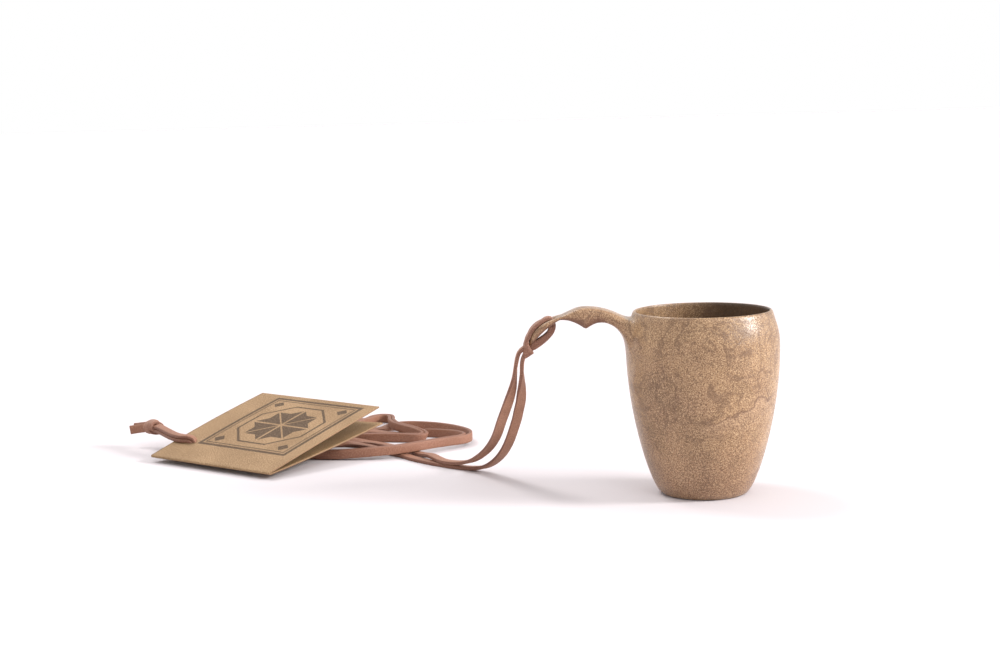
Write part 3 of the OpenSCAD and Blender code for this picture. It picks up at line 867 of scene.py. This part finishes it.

# %% [markdown]
# The card's inner side is a little darker, as painted shade inside the fold, and its cut edge is
# darker and rougher, so it has three materials. The Solidify modifier gives them to the card: the
# first to the printed side, the second to the side it adds, the third to the rim. Ink is thinner over
# the pale fibres.

# %% Card
def kraft(name, printed, dark, pale):
    """A kraft card material between a dark and a pale tone, with the print or plain."""
    made, tree, shader = material(name)
    spot = wire(tree, "ShaderNodeUVMap", {}, uv_map="UVMap").outputs["UV"]
    fine = placed(tree, specks, spot, 2100)
    tone = blended(tree, placed(tree, patches, spot, 60)["Tone"], dark, pale)
    tone = laid_over(tree, tone, fine["Dark"], .55, (.13, .072, .034))
    tone = laid_over(tree, tone, fine["Light"], .55, (.56, .39, .245))
    if printed:
        strength = math_node(tree, "SUBTRACT", .86, times(tree, fine["Light"], .35))
        tone = laid_over(tree, tone, star_print(tree, spot), strength, (.045, .028, .02))
    tree.links.new(tone, shader.inputs["Base Color"])
    shader.inputs["Roughness"].default_value = .78
    shader.inputs["Specular IOR Level"].default_value = .2
    bumped(tree, shader, (fine["Light"], .15, .00008, False))
    return made


card_outside = kraft("card_outside", True, (.235, .145, .075), (.305, .193, .104))
# The inner side's darker tones are painted shade for the inside of the fold.
card_inside_shaded = kraft("card_inside_shaded", False, (.21, .125, .055), (.27, .165, .078))
card_rim, tree, shader = material("card_rim")
layers = placed(tree, specks, wire(tree, "ShaderNodeTexCoord", {}).outputs["Object"], 2400)["Dark"]
tone = blended(tree, layers, (.30, .18, .10), (.18, .10, .055))
tree.links.new(tone, shader.inputs["Base Color"])
shader.inputs["Roughness"].default_value = .85
for made in (card_outside, card_inside_shaded, card_rim):
    tag.data.materials.append(made)
print("card materials", [m.name for m in tag.data.materials])

# %% [markdown]
# ## Floor and light
# The cup stands on a wide, seamless, pale floor under an even white sky. The floor is one face so
# large that its far edge is lost in the sky, and it is staged, so it isn't a part of the object.

# %% Floor and sky
FLOOR_REACH = 60
bm = bmesh.new()
bmesh.ops.create_grid(bm, x_segments=1, y_segments=1, size=FLOOR_REACH)
floor = finished("floor", bm)
floor_white, tree, shader = material("floor_white")
shader.inputs["Base Color"].default_value = (.61, .565, .58, 1)
shader.inputs["Roughness"].default_value = .9
shader.inputs["Specular IOR Level"].default_value = .1
floor.data.materials.append(floor_white)
floor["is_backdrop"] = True
world = bpy.data.worlds.new("world")
scene.world = world
world.use_nodes = True
sky = world.node_tree.nodes["Background"].inputs
sky["Color"].default_value = (1, 1, 1, 1)
sky["Strength"].default_value = 1.0
print("floor", FLOOR_REACH * 2, "m wide")

# %% [markdown]
# Two broad suns, low at the right and high behind to the left, give the two soft shadows. A weak
# third one and a small soft box, in front, shape the bowl. A sun has no place, only an aim, so its
# place here just says where the light comes from.

# %% Lights
def lamp(name, kind, power, at, to=(-.03, .02, .03), **settings):
    """A light at a place, aimed at the object."""
    light = bpy.data.lights.new(name, kind)
    light.energy = power
    for key, value in settings.items():
        setattr(light, key, value)
    holder = bpy.data.objects.new(name, light)
    aim = (Vector(to) - Vector(at)).to_track_quat("-Z", "Y").to_matrix().to_4x4()
    holder.matrix_world = Matrix.Translation(at) @ aim
    scene.collection.objects.link(holder)


lamp("right", "SUN", 2.5, (1.2, -.16, .6), angle=math.radians(15))
lamp("behind_left", "SUN", 1.3, (-.5, .45, 1.0), angle=math.radians(20))
lamp("front", "SUN", .45, (.3, -.9, 1.0), angle=math.radians(22))
lamp("soft_box", "AREA", 2.2, (.51, -.17, .36), shape="RECTANGLE", size=.14, size_y=.22)
scene.view_settings.view_transform = "Standard"
scene.view_settings.look = "None"

# %% [markdown]
# ## Taking the imported model's places
# The cup rides on its body and the knot on the upper leaf. The lace halves and the card ride on no
# body: their places are baked into their meshes, and the imported lace and leaves are hidden.

# %% Riding on the bodies
FOLD_LEAN, CROSSING = math.radians(11), .0001
LACE_NODES = ("lace_hitch", "lace_left", "lace_right", "lace_coil", "lace_bight", "lace_to_tag",
              "lace_over_tag", "lace_ends")
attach(cup, "cup")
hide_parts("cup")
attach(knot, "upper_leaf")
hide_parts("end_knot")
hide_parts("tag_lower_leaf", "tag_upper_leaf")
over_fold = Vector((0, -math.sin(FOLD_LEAN), math.cos(FOLD_LEAN)))
over_fold = Matrix.Rotation(FOLD_TURN, 3, "Z") @ over_fold * CROSSING
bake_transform(tag)
for piece in (left_lace, right_lace):
    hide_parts(*LACE_NODES)
    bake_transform(piece)
print("blended", [piece.name for piece in (tag, left_lace, right_lace)])

# %% [markdown]
# Each half of the lace runs from the tongue's hole to its tail.

# %% The lace halves
print("cords", left_lace.name, right_lace.name)

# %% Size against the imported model, and finish
low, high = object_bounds()
for axis, c0, c1, v0, v1 in zip("XYZ", *cad_box, low, high):
    print(axis, "packed", round(c0, 4), round(c1, 4), "made", round(v0, 4), round(v1, 4))
